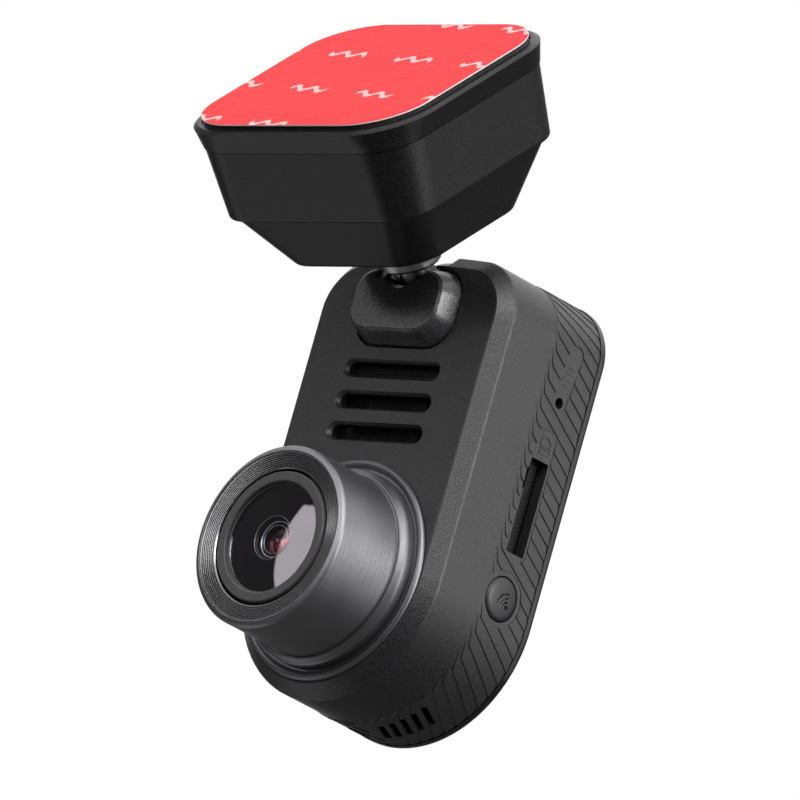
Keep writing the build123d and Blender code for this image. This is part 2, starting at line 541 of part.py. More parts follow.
# card socket, open towards +X
cs = box(1.0, 15.4, 12.9, 14.58, 8.6, 20.6)
cs -= box(2.0, 16.0, 13.15, 14.15, 9.2, 20.0)
cs -= box(12.4, 16.0, 12.8, 13.3, 12.0, 17.2)
put("card_socket", cs, CAMERA)
# gold contact comb inside the card socket
g = Part()
for i in range(8):
    g += box(2.05, 9.0, 13.93, 14.12, 9.9 + 1.22 * i, 10.45 + 1.22 * i)
put("card_contacts", g, CAMERA)

# speaker, its gauze and gasket behind the three slots
spk = cyl_y(5.6, 2.7, 5.6, 0, 21.8)
spk += cyl_y(3.4, 5.5, 6.6, 0, 21.8)
spk -= turned_y([(0, 2.6), (4.6, 2.6), (4.0, 3.1), (2.0, 3.5), (1.6, 3.3), (0, 3.05)]).moved(Location((0, 0, 21.8)))
put("speaker", spk, CAMERA)
gz = prism_y(Pos(0, 23.4) * RectangleRounded(21.0, 12.6, 2.5), WALL + 0.02, WALL + 0.22)
put("speaker_gauze", gz, CAMERA)
gk = prism_y(Pos(0, 23.4) * RectangleRounded(21.0, 12.6, 2.5) - Pos(0, 22.0) * RectangleRounded(17.5, 8.6, 2.0), WALL + 0.24, WALL + 0.74)
put("speaker_gasket", gk & box(-12, 12, 1, 3, 16, 29.72), CAMERA)

# microphone and its boot against the side wall
put("microphone", cyl_x(2.0, 11.2, 13.2, 12.5, MIC_Z), CAMERA)
boot = cyl_x(2.45, 13.25, 15.55, 12.45, MIC_Z) - cyl_x(0.7, 13, 16, MIC_Y, MIC_Z)
boot &= box(13, 15.55, 9, 14.55, 25, 33)
put("microphone_boot", boot, CAMERA)

# power socket on the -X edge of the main board
us = Pos(-W / 2 + 0.9, USB_Y, USB_Z) * Rot(0, 90, 0) * extrude(SlotOverall(8.94, 3.2), amount=7.4)
us -= Pos(-W / 2 + 0.8, USB_Y, USB_Z) * Rot(0, 90, 0) * extrude(SlotOverall(8.34, 2.6), amount=6.3)
us += box(-W / 2 + 1.7, -W / 2 + 7.4, USB_Y - 0.35, USB_Y + 0.35, USB_Z - 3.2, USB_Z + 3.2)
put("power_socket", us, CAMERA)

# backup capacitors either side of the ball socket
g = Part()
for s in (-1, 1):
    c = cyl(2.7, 14.2, 26.4, 12.2 * s, 7.8)
    g += c
put("backup_capacitors", g, CAMERA)

# wireless antenna, a bent strip up the -X wall
an = box(-15.5, -15.1, 6.0, 12.0, 24.0, 37.0) + box(-15.5, -13.4, 12.0, 12.4, 33.0, 36.0)
put("wireless_antenna", box(-15.5, -15.1, 5.0, 12.0, 31.0, 36.0) + box(-15.5, -13.8, 11.6, 12.0, 31.0, 34.0), CAMERA)

# ------------------------------------------------------------------
# buttons and their switches, one each side
# ------------------------------------------------------------------
def button(s):
    """Domed cap with a retaining flange behind the wall, travel along X."""
    x = W / 2
    b = turned_z([(0, x + 0.42), (1.2, x + 0.4), (2.2, x + 0.3), (BTN_R - 0.25, x + 0.16), (BTN_R, x - 0.05), (BTN_R, x - WALL - 0.12),
                  (BTN_R + 0.65, x - WALL - 0.12), (BTN_R + 0.65, x - WALL - 0.62), (0.9, x - WALL - 0.62), (0.9, x - WALL - 0.95), (0, x - WALL - 0.95)])
    b = Pos(0, BTN_Y, BTN_Z) * Rot(0, 90, 0) * b
    if s < 0:
        b = mirror(b, Plane.YZ)
    # keep the flange clear of the main board
    return b


for s, nm in ((1, "wireless"), (-1, "power")):
    b = button(s)
    b -= box(min(s * (W / 2 - WALL - 1.2), s * (W / 2 - WALL - 0.05)), max(s * (W / 2 - WALL - 1.2), s * (W / 2 - WALL - 0.05)), 14.45, 20, -4, 8)
    put(nm + "_button", b, CAMERA)
    x1 = W / 2 - WALL - 0.95 - BTN_TRAVEL - 0.08
    sw = box(min(s * x1, s * (x1 - 1.0)), max(s * x1, s * (x1 - 1.0)), BTN_Y - 0.7, BTN_Y + 0.7, BTN_Z - 0.7, BTN_Z + 0.7)
    sw += box(min(s * (x1 - 0.6), s * (x1 - 3.4)), max(s * (x1 - 0.6), s * (x1 - 3.4)), 11.4, 14.56, BTN_Z - 2.1, BTN_Z + 2.1)
    put(nm + "_switch", sw, CAMERA)

for name, shape in nodes.items():
    shape.label = name
    export_step(shape, "parts/" + name + ".step")
print(len(nodes), "nodes written")
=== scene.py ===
import math
import random
import bpy
import bmesh
from mathutils import Matrix, Vector, noise


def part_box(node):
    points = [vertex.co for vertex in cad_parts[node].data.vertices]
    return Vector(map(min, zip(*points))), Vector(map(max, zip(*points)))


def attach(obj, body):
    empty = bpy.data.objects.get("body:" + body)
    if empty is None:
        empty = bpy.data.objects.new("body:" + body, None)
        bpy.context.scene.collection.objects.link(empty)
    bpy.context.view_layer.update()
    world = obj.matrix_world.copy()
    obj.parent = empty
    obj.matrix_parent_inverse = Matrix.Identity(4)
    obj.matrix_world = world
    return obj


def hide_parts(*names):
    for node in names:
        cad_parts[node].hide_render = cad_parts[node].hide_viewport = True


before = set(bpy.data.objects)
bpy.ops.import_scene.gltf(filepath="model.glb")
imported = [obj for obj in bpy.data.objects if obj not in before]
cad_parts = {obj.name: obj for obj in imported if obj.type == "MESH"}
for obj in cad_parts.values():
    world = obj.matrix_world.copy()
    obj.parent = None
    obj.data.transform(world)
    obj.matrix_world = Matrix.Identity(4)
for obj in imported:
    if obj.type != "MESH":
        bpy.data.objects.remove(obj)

for spare in ("Cube", "Light", "Camera"):
    o = bpy.data.objects.get(spare)
    if o is not None:
        bpy.data.objects.remove(o, do_unlink=True)
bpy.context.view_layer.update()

MM = 0.001
PI = math.pi
PAD_TILT = math.radians(42.4)
PAD_YAW = math.radians(4.0)
OFF_Y = 38.0 * math.sin(PAD_TILT) - 6.0
OFF_Z = -38.0 * math.cos(PAD_TILT) - 33.7
MOUNT = Matrix.Rotation(PAD_TILT, 3, "X") @ Matrix.Rotation(PAD_YAW, 3, "Z")


def L(x, y, z):
    """Camera frame (mm) to the row frame (m)."""
    return Vector((x, y + OFF_Y, z + OFF_Z)) * MM


def M(x, y, z):
    """Mount frame (mm) to the row frame (m)."""
    return (MOUNT @ Vector((x, y, z))) * MM


# ----------------------------------------------------------------------
# mesh helpers
# ----------------------------------------------------------------------
def make(name, verts, faces, material, body, replaces=(), smooth=True, angle=35.0):
    me = bpy.data.meshes.new(name)
    me.from_pydata([tuple(v) for v in verts], [], faces)
    me.validate()
    bm = bmesh.new()
    bm.from_mesh(me)
    bmesh.ops.remove_doubles(bm, verts=bm.verts, dist=2e-7)
    bmesh.ops.dissolve_degenerate(bm, edges=bm.edges, dist=1e-7)
    bmesh.ops.recalc_face_normals(bm, faces=bm.faces)
    bm.to_mesh(me)
    bm.free()
    o = bpy.data.objects.new(name, me)
    bpy.context.scene.collection.objects.link(o)
    finish_piece(o, material, body, replaces, smooth, angle)
    return o


def finish_piece(o, material, body, replaces=(), smooth=True, angle=35.0):
    me = o.data
    me.materials.clear()
    me.materials.append(material)
    for p in me.polygons:
        p.use_smooth = smooth
        p.material_index = 0
    if smooth:
        me.set_sharp_from_angle(angle=math.radians(angle))
    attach(o, body)
    if replaces:
        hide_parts(*replaces)


def raw(name, verts, faces):
    me = bpy.data.meshes.new(name)
    me.from_pydata([tuple(v) for v in verts], [], faces)
    bm = bmesh.new()
    bm.from_mesh(me)
    bmesh.ops.remove_doubles(bm, verts=bm.verts, dist=2e-7)
    bmesh.ops.recalc_face_normals(bm, faces=bm.faces)
    bm.to_mesh(me)
    bm.free()
    o = bpy.data.objects.new(name, me)
    bpy.context.scene.collection.objects.link(o)
    return o


def cut(o, cutters, op="DIFFERENCE"):
    """Applies booleans and removes the cutters."""
    for c in cutters:
        m = o.modifiers.new("cut", "BOOLEAN")
        m.operation = op
        m.solver = "EXACT"
        m.object = c
    bpy.context.view_layer.update()
    dg = bpy.context.evaluated_depsgraph_get()
    me = bpy.data.meshes.new_from_object(o.evaluated_get(dg))
    o.modifiers.clear()
    o.data = me
    for c in cutters:
        bpy.data.objects.remove(c, do_unlink=True)
    return o


def prism(points, a, b, place):
    """Closed prism from a loop of 2-D points, swept from a to b; place(u, v, w) gives the vertex."""
    n = len(points)
    verts = [place(u, v, a) for u, v in points] + [place(u, v, b) for u, v in points]
    faces = [tuple(range(n)), tuple(range(2 * n - 1, n - 1, -1))]
    faces += [(i, (i + 1) % n, n + (i + 1) % n, n + i) for i in range(n)]
    return verts, faces


def circle_pts(u, v, r, n=48):
    return [(u + r * math.cos(2 * PI * i / n), v + r * math.sin(2 * PI * i / n)) for i in range(n)]


def rrect_pts(u0, u1, v0, v1, r, n=8):
    pts = []
    for cu, cv, a0 in ((u1 - r, v1 - r, 0), (u0 + r, v1 - r, 90), (u0 + r, v0 + r, 180), (u1 - r, v0 + r, 270)):
        for i in range(n + 1):
            a = math.radians(a0 + 90 * i / n)
            pts.append((cu + r * math.cos(a), cv + r * math.sin(a)))
    return pts


def lathe(points, n, place):
    """Closed solid of revolution; place(r, y, angle)."""
    m = len(points)
    verts, faces = [], []
    for j in range(n):
        a = 2 * PI * j / n
        for r, y in points:
            verts.append(place(r, y, a))
    for j in range(n):
        k = (j + 1) % n
        for i in range(m):
            i2 = (i + 1) % m
            faces.append((j * m + i, j * m + i2, k * m + i2, k * m + i))
    return verts, faces


def on_lens(r, y, a):
    return L(r * math.cos(a), y, r * math.sin(a))


# ----------------------------------------------------------------------
# materials
# ----------------------------------------------------------------------
class Net:
    def __init__(self, name):
        self.m = bpy.data.materials.new(name)
        self.m.use_nodes = True
        self.t = self.m.node_tree
        self.b = self.t.nodes["Principled BSDF"]
        self.co = self.t.nodes.new("ShaderNodeTexCoord").outputs["Object"]

    def node(self, kind, **kw):
        n = self.t.nodes.new(kind)
        for k, v in kw.items():
            setattr(n, k, v)
        return n

    def link(self, a, b):
        self.t.links.new(a, b)

    def put(self, sock, value):
        if hasattr(value, "is_output") or hasattr(value, "node"):
            self.link(value, sock)
        else:
            sock.default_value = value

    def noise(self, scale, detail=2.0, rough=0.5, vec=None, dist=0.0):
        n = self.node("ShaderNodeTexNoise")
        n.inputs["Scale"].default_value = scale
        n.inputs["Detail"].default_value = detail
        n.inputs["Roughness"].default_value = rough
        n.inputs["Distortion"].default_value = dist
        self.link(vec if vec is not None else self.co, n.inputs["Vector"])
        return n.outputs["Fac"]

    def voronoi(self, scale, vec=None, feature="F1", out="Distance"):
        n = self.node("ShaderNodeTexVoronoi", feature=feature)
        n.inputs["Scale"].default_value = scale
        self.link(vec if vec is not None else self.co, n.inputs["Vector"])
        return n.outputs[out]

    def ramp(self, fac, stops):
        n = self.node("ShaderNodeValToRGB")
        el = n.color_ramp.elements
        while len(el) < len(stops):
            el.new(0.5)
        for e, (p, c) in zip(el, stops):
            e.position = p
            e.color = (c[0], c[1], c[2], 1.0) if not isinstance(c, float) else (c, c, c, 1.0)
        self.link(fac, n.inputs["Fac"])
        return n.outputs["Color"]

    def span(self, v, a, b, c, d, smooth=False):
        n = self.node("ShaderNodeMapRange")
        if smooth:
            n.interpolation_type = "SMOOTHSTEP"
        for s, x in zip(("From Min", "From Max", "To Min", "To Max"), (a, b, c, d)):
            n.inputs[s].default_value = x
        self.link(v, n.inputs["Value"])
        return n.outputs["Result"]

    def math(self, op, a, b=0.0, clamp=False):
        n = self.node("ShaderNodeMath", operation=op, use_clamp=clamp)
        self.put(n.inputs[0], a)
        self.put(n.inputs[1], b)
        return n.outputs[0]

    def mix(self, fac, a, b):
        n = self.node("ShaderNodeMix", data_type="RGBA")
        self.put(n.inputs[0], fac)
        self.put(n.inputs[6], a)
        self.put(n.inputs[7], b)
        return n.outputs[2]

    def rotated(self, rx, ry, rz, kind="POINT"):
        n = self.node("ShaderNodeMapping", vector_type=kind)
        n.inputs["Rotation"].default_value = (rx, ry, rz)
        self.link(self.co, n.inputs["Vector"])
        return n.outputs["Vector"]

    def axes(self, vec=None):
        n = self.node("ShaderNodeSeparateXYZ")
        self.link(vec if vec is not None else self.co, n.inputs[0])
        return n.outputs

    def bump(self, height, strength, distance, normal=None):
        n = self.node("ShaderNodeBump")
        n.inputs["Strength"].default_value = strength
        n.inputs["Distance"].default_value = distance
        self.link(height, n.inputs["Height"])
        if normal is not None:
            self.link(normal, n.inputs["Normal"])
        return n.outputs["Normal"]

    def set(self, **kw):
        names = {"color": "Base Color", "rough": "Roughness", "metal": "Metallic", "normal": "Normal",
                 "coat": "Coat Weight", "coat_rough": "Coat Roughness", "ior": "IOR", "trans": "Transmission Weight",
                 "spec": "Specular IOR Level", "sheen": "Sheen Weight", "sheen_rough": "Sheen Roughness", "tint": "Specular Tint",
                 "aniso": "Anisotropic", "alpha": "Alpha", "coat_ior": "Coat IOR", "sss": "Subsurface Weight"}
        for k, v in kw.items():
            s = self.b.inputs[names[k]]
            if isinstance(v, tuple) and len(v) == 3:
                v = (v[0], v[1], v[2], 1.0)
            self.put(s, v)
        return self.m


def grained(name, dark, light, r0, r1, grain=5200.0, depth=0.000018, strength=0.6, spec=0.5, coat=0.0, coat_rough=0.2, cells=True):
    """Moulded plastic: fine spark-eroded grain, faint tone drift."""
    n = Net(name)
    fine = n.noise(grain, 3.0, 0.6)
    drift = n.noise(110.0, 2.0, 0.5)
    speck = n.noise(grain * 0.8, 1.0, 0.5)
    tone = n.math("ADD", n.math("MULTIPLY", drift, 0.05), n.math("MULTIPLY", n.math("ADD", speck, fine), 0.475))
    col = n.ramp(tone, [(0.40, dark), (0.60, light)])
    h = fine
    if cells:
        h = n.math("ADD", n.math("MULTIPLY", fine, 0.6), n.math("MULTIPLY", n.voronoi(grain * 0.55), 0.5))
    return n.set(color=col, rough=n.span(fine, 0.3, 0.7, r0, r1), normal=n.bump(h, strength, depth), spec=spec,
                 coat=coat, coat_rough=coat_rough)


def turned(name, base, r0, r1, pitch_scale=9000.0, depth=0.000006, aniso=0.0, strength=0.5, metal=1.0, spec=0.5):
    """Turned metal: faint tool rings along the lens axis with a light bead-blast grain."""
    n = Net(name)
    ax = n.axes()
    stretched = n.node("ShaderNodeCombineXYZ")
    n.link(n.math("MULTIPLY", ax[1], 1.0), stretched.inputs[1])
    rings = n.noise(pitch_scale, 1.0, 0.5, stretched.outputs[0])
    fine = n.noise(7000.0, 2.0, 0.6)
    drift = n.noise(160.0, 2.0, 0.5)
    col = n.ramp(n.math("ADD", n.math("MULTIPLY", drift, 0.5), n.math("MULTIPLY", fine, 0.5)),
                 [(0.3, tuple(c * 0.86 for c in base)), (0.7, tuple(min(1.0, c * 1.12) for c in base))])
    h = n.math("ADD", n.math("MULTIPLY", rings, 0.5), n.math("MULTIPLY", fine, 0.6))
    return n.set(color=col, metal=metal, rough=n.span(fine, 0.3, 0.7, r0, r1), normal=n.bump(h, strength, depth), aniso=aniso, spec=spec)


MAT = {}
MAT["casing_plastic"] = grained("casing", (0.004, 0.004, 0.005), (0.030, 0.030, 0.033), 0.26, 0.40, 5400, 0.00006, 1.0, spec=0.72, cells=False)
MAT["casing_rib"] = grained("casing_rib", (0.009, 0.009, 0.010), (0.036, 0.036, 0.039), 0.26, 0.40, 5400, 0.00005, 1.0, spec=0.76, cells=False)
# The cover plastic's grey is lifted above its own tone to offset the mount's shade over the cover: partly the cover's
# colour, partly painted fill light.
MAT["cover_plastic"] = grained("cover_plastic", (0.022, 0.022, 0.024), (0.072, 0.072, 0.077), 0.23, 0.33, 4200, 0.00004, 0.7, spec=0.95, cells=False)
MAT["mount_plastic"] = grained("mount_plastic", (0.0050, 0.0050, 0.0056), (0.0125, 0.0125, 0.0135), 0.27, 0.38, 4200, 0.00003, 0.8, spec=0.36, cells=False)
MAT["rear_gloss"] = grained("rear_gloss", (0.006, 0.006, 0.007), (0.010, 0.010, 0.011), 0.16, 0.24, 2600, 0.000004, 0.3, coat=0.4, coat_rough=0.12)
MAT["button_plastic"] = grained("button_plastic", (0.024, 0.024, 0.026), (0.034, 0.034, 0.037), 0.34, 0.46, 6000, 0.000008, 0.4, spec=0.5)
MAT["inner_plastic"] = grained("inner_plastic", (0.006, 0.006, 0.006), (0.012, 0.012, 0.012), 0.55, 0.75, 4200, 0.000012, 0.5)
MAT["switch_body"] = grained("switch_body", (0.030, 0.030, 0.030), (0.055, 0.055, 0.052), 0.45, 0.6, 4200, 0.00001, 0.4)
MAT["nylon"] = grained("nylon", (0.46, 0.45, 0.40), (0.58, 0.57, 0.52), 0.45, 0.6, 3200, 0.000008, 0.4)
MAT["rubber_black"] = grained("rubber_black", (0.007, 0.007, 0.007), (0.013, 0.013, 0.013), 0.68, 0.85, 3800, 0.000014, 0.6)
MAT["speaker_black"] = grained("speaker_black", (0.006, 0.006, 0.006), (0.014, 0.014, 0.014), 0.5, 0.7, 3000, 0.00001, 0.5)
MAT["gauze"] = grained("gauze_wire", (0.0012, 0.0012, 0.0012), (0.0030, 0.0030, 0.0030), 0.5, 0.7, 9000, 0.000004, 0.4, spec=0.2)
MAT["lens_black"] = grained("lens_black", (0.010, 0.010, 0.011), (0.018, 0.018, 0.019), 0.32, 0.45, 6000, 0.000005, 0.4)
MAT["ring_grey"] = grained("ring_grey", (0.045, 0.045, 0.047), (0.070, 0.070, 0.073), 0.34, 0.46, 7000, 0.000006, 0.4)
MAT["capacitor_sleeve"] = grained("capacitor_sleeve", (0.010, 0.012, 0.030), (0.018, 0.020, 0.046), 0.25, 0.4, 2600, 0.000004, 0.3)
MAT["chip"] = grained("chip", (0.012, 0.012, 0.012), (0.024, 0.024, 0.024), 0.5, 0.65, 6500, 0.000005, 0.5)
MAT["flex_film"] = grained("flex_film", (0.32, 0.13, 0.02), (0.42, 0.19, 0.04), 0.28, 0.4, 1500, 0.000003, 0.3)
MAT["barrel_metal"] = turned("barrel_metal", (0.285, 0.285, 0.30), 0.34, 0.48, 3000.0, 0.00005, 0.0, 1.0, 1.0)
MAT["base_metal"] = turned("base_metal", (0.215, 0.215, 0.225), 0.38, 0.50, 3000.0, 0.00002, 0.0, 0.7, 1.0)
MAT["ring_metal"] = turned("ring_metal", (0.40, 0.40, 0.41), 0.19, 0.22, 9000.0, 0.000001, 0.92, 0.04, 1.0)
_t = MAT["ring_metal"].node_tree
_tan = _t.nodes.new("ShaderNodeTangent")
_tan.direction_type = "RADIAL"
_tan.axis = "Y"
_t.links.new(_tan.outputs[0], _t.nodes["Principled BSDF"].inputs["Tangent"])
_t.nodes["Principled BSDF"].inputs["Anisotropic Rotation"].default_value = 0.25
MAT["lens_well"] = grained("lens_well", (0.0018, 0.0018, 0.0020), (0.0036, 0.0036, 0.0040), 0.50, 0.60, 1800, 0.000001, 0.1, spec=0.2, cells=False)
MAT["slot_black"] = grained("slot_black", (0.0014, 0.0014, 0.0014), (0.0040, 0.0040, 0.0040), 0.40, 0.55, 4200, 0.000008, 0.4, spec=0.35)
MAT["stud_metal"] = turned("stud_metal", (0.34, 0.34, 0.345), 0.30, 0.42, 4200.0, 0.000008, 0.0, 0.5, 1.0)
MAT["screw_steel"] = turned("screw_steel", (0.34, 0.34, 0.35), 0.24, 0.38, 5200.0, 0.000005, 0.0, 0.5, 1.0)
MAT["socket_metal"] = turned("socket_metal", (0.52, 0.52, 0.51), 0.24, 0.36, 5200.0, 0.000004, 0.0, 0.4, 1.0)
MAT["heat_metal"] = turned("heat_metal", (0.42, 0.43, 0.44), 0.30, 0.42, 3200.0, 0.000005, 0.0, 0.5, 1.0)
MAT["contact_gold"] = turned("contact_gold", (0.72, 0.50, 0.20), 0.20, 0.32, 5200.0, 0.000003, 0.0, 0.4, 1.0)


def board_material():
    n = Net("circuit_board")
    cells = n.voronoi(700.0, feature="F1", out="Color")
    sep = n.node("ShaderNodeSeparateColor")
    n.link(cells, sep.inputs[0])
    track = n.span(sep.outputs[0], 0.45, 0.55, 0.0, 1.0)
    col = n.mix(track, (0.005, 0.006, 0.008, 1), (0.010, 0.012, 0.016, 1))
    pads = n.span(n.voronoi(1500.0), 0.10, 0.14, 1.0, 0.0)
    col = n.mix(n.math("MULTIPLY", pads, 0.6), col, (0.62, 0.46, 0.20, 1))
    fine = n.noise(5000.0, 2.0)
    return n.set(color=col, rough=n.span(fine, 0.3, 0.7, 0.28, 0.42), normal=n.bump(n.math("ADD", fine, track), 0.4, 0.00001), coat=0.2)


MAT["circuit_board"] = board_material()


def glass(name, tint, rough=0.02, ior=1.5, trans=1.0, spec_tint=(1, 1, 1), coat=0.0):
    n = Net(name)
    haze = n.noise(900.0, 2.0)
    drift = n.noise(200.0, 1.0)
    col = n.ramp(drift, [(0.3, tuple(c * 0.97 for c in tint)), (0.7, tint)])
    return n.set(color=col, rough=n.span(haze, 0.3, 0.7, rough, rough * 1.6), trans=trans, ior=ior, tint=spec_tint, coat=coat, coat_rough=0.02)


MAT["lens_glass"] = glass("lens_glass", (0.96, 0.96, 0.98), 0.01, 1.52, 1.0, (1.0, 0.72, 0.80))
MAT["window_glass"] = glass("window_glass", (0.90, 0.89, 0.92), 0.0, 1.36, 1.0, (1.0, 0.93, 0.96))
MAT["filter_glass"] = glass("filter_glass", (0.80, 0.30, 0.32), 0.02, 1.5, 0.9, (1.0, 0.4, 0.5))
MAT["clear_plastic"] = glass("clear_plastic", (0.85, 0.88, 0.92), 0.12, 1.49, 0.9)


def foam_material(name="foam_tape"):
    n = Net(name)
    pores = n.voronoi(7000.0)
    fibre = n.noise(4200.0, 4.0, 0.7)
    h = n.math("ADD", n.math("MULTIPLY", pores, 0.7), n.math("MULTIPLY", fibre, 0.6))
    col = n.ramp(h, [(0.2, (0.003, 0.003, 0.003)), (0.7, (0.016, 0.016, 0.017))])
    return n.set(color=col, rough=n.span(fibre, 0.3, 0.7, 0.75, 0.95), normal=n.bump(h, 0.8, 0.00005), sheen=0.2, sheen_rough=0.5)


MAT["foam_tape"] = foam_material()


def liner_material():
    """Glossy red film printed with faint wavy dashes in slanted rows; its cut edge shows paler."""
    n = Net("liner_film")
    vec = n.rotated(-PAD_TILT, 0.0, 0.0)
    turn = n.node("ShaderNodeMapping", vector_type="POINT")
    turn.inputs["Rotation"].default_value = (0.0, 0.0, -PAD_YAW + math.radians(9.0))
    n.link(vec, turn.inputs["Vector"])
    ax = n.axes(turn.outputs["Vector"])
    u, v = ax[0], ax[1]
    wob = n.math("MULTIPLY", n.math("SINE", n.math("MULTIPLY", u, 2 * PI / 0.0032)), 0.00062)
    vv = n.math("ADD", v, wob)
    row = n.math("DIVIDE", vv, 0.0118)
    rf = n.math("ABSOLUTE", n.math("SUBTRACT", n.math("FRACT", row), 0.5))
    line = n.span(rf, 0.030, 0.048, 1.0, 0.0)
    idx = n.math("FLOOR", row)
    uu = n.math("ADD", n.math("DIVIDE", u, 0.0128), n.math("MULTIPLY", idx, 0.37))
    dash = n.span(n.math("FRACT", uu), 0.50, 0.53, 1.0, 0.0)
    mark = n.math("MULTIPLY", line, dash)
    soft = n.noise(2400.0, 2.0)
    mark = n.math("MULTIPLY", mark, n.span(soft, 0.3, 0.6, 0.65, 0.95))
    drift = n.noise(60.0, 2.0)
    red = n.ramp(drift, [(0.3, (0.70, 0.005, 0.011)), (0.7, (0.80, 0.009, 0.018))])
    col = n.mix(mark, red, (0.93, 0.55, 0.54, 1))
    geo = n.node("ShaderNodeNewGeometry")
    dot = n.node("ShaderNodeVectorMath", operation="DOT_PRODUCT")
    n.link(geo.outputs["Normal"], dot.inputs[0])
    dot.inputs[1].default_value = tuple(MOUNT @ Vector((0, 0, 1)))
    side = n.span(n.math("ABSOLUTE", dot.outputs["Value"]), 0.4, 0.7, 1.0, 0.0)
    col = n.mix(side, col, (0.86, 0.80, 0.79, 1))
    puck = n.noise(240.0, 2.0)
    return n.set(color=col, rough=n.span(soft, 0.3, 0.7, 0.34, 0.46), normal=n.bump(puck, 0.35, 0.0003), spec=0.12)


MAT["liner_film"] = liner_material()
MAT["print_dark"] = grained("engraved_mark", (0.010, 0.010, 0.011), (0.015, 0.015, 0.016), 0.4, 0.55, 6000, 0.000004, 0.4)

for name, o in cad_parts.items():
    slot = o.data.materials[0].name.split(".")[0]
    key = slot
    if name == "socket_cover":
        key = "cover_plastic"
    if name == "lens_hood":
        key = "lens_well"
    if name in ("base_ring", "collar_ring"):
        key = "base_metal"
    o.data.materials.clear()
    o.data.materials.append(MAT[key])

# ----------------------------------------------------------------------
# ribbed band round the casing
# ----------------------------------------------------------------------
W2, RT, ZT, CROWN = 17.3, 8.2, 44.15, 0.35
S1 = W2 * PI / 2
S2 = S1 + (ZT - RT)
S3 = S2 + RT * PI / 2
XC = W2 - RT
RC = (XC * XC + CROWN * CROWN) / (2 * CROWN)
ZC = ZT + CROWN - RC
A_TOP = math.asin(XC / RC)
S4 = S3 + RC * A_TOP


def outline(s):
    """Point and outward normal on the casing's outline, s mm from the bottom centre towards +X."""
    if s < S1:
        a = s / W2
        return W2 * math.sin(a), -W2 * math.cos(a), math.sin(a), -math.cos(a)
    if s < S2:
        return W2, s - S1, 1.0, 0.0
    if s < S3:
        a = (s - S2) / RT
        return XC + RT * math.cos(a), ZT - RT + RT * math.sin(a), math.cos(a), math.sin(a)
    a = A_TOP - (s - S3) / RC
    return RC * math.sin(a), ZC + RC * math.cos(a), math.sin(a), math.cos(a)


RIB_PITCH = 1.95
RIB_GAP = 0.10
RIB_Y0 = 10.0
RIB_Y1 = 19.17
RIB_SLOPE = math.tan(math.radians(30.0))
RIB_Q0 = 0.55


def skin(side, s, y, h):
    x, z, nx, nz = outline(s)
    return L(side * (x + nx * h), y, z + nz * h)


def ribs(side):
    verts, faces = [], []
    cols = [(0.0, 0.105), (0.035, 0.15), (0.35, 0.115), (0.68, 0.075), (1.0, 0.035)]
    steps = [0.0, 0.010, 0.07] + [0.16 + 0.84 * i / 9 for i in range(10)]
    rows = len(steps) - 1
    k = -2
    while True:
        q0 = RIB_Q0 + k * RIB_PITCH + RIB_GAP / 2
        if q0 > S4 + 6.5:
            break
        wq = RIB_PITCH - RIB_GAP
        base = len(verts)
        nc = len(cols)
        for j in range(rows + 1):
            for t, h in cols:
                q = q0 + t * wq
                ys = RIB_Y0 + 0.85 * (1 - t)
                y = ys + (RIB_Y1 - ys) * steps[j]
                s = q - (y - RIB_Y0) * RIB_SLOPE
                e = 0.25 if j == 0 else 1.0
                verts.append(skin(side, s, y, h * e))
        for j in range(rows + 1):
            for t, h in cols:
                q = q0 + t * wq
                ys = RIB_Y0 + 0.85 * (1 - t)
                y = ys + (RIB_Y1 - ys) * steps[j]
                s = q - (y - RIB_Y0) * RIB_SLOPE
                verts.append(skin(side, s, y, -0.12))
        half = (rows + 1) * nc
        for j in range(rows):
            for i in range(nc - 1):
                a = base + j * nc + i
                faces.append((a, a + 1, a + 1 + nc, a + nc))
                b = a + half
                faces.append((b, b + nc, b + nc + 1, b + 1))
            for i, flip in ((0, True), (nc - 1, False)):
                a = base + j * nc + i
                f = (a, a + nc, a + nc + half, a + half)
                faces.append(f if flip else f[::-1])
        for j, flip in ((0, False), (rows, True)):
            for i in range(nc - 1):
                a = base + j * nc + i
                f = (a, a + half, a + half + 1, a + 1)
                faces.append(f if not flip else f[::-1])
        k += 1
    return verts, faces


def side_place(side):
    return lambda y, z, x: L(side * x, y, z)


def capsule_pts(y0, z0, y1, z1, r, n=16):
    a = math.atan2(z1 - z0, y1 - y0)
    pts = []
    for i in range(n + 1):
        b = a - PI / 2 + PI * i / n
        pts.append((y1 + r * math.cos(b), z1 + r * math.sin(b)))
    for i in range(n + 1):
        b = a + PI / 2 + PI * i / n
        pts.append((y0 + r * math.cos(b), z0 + r * math.sin(b)))
    return pts


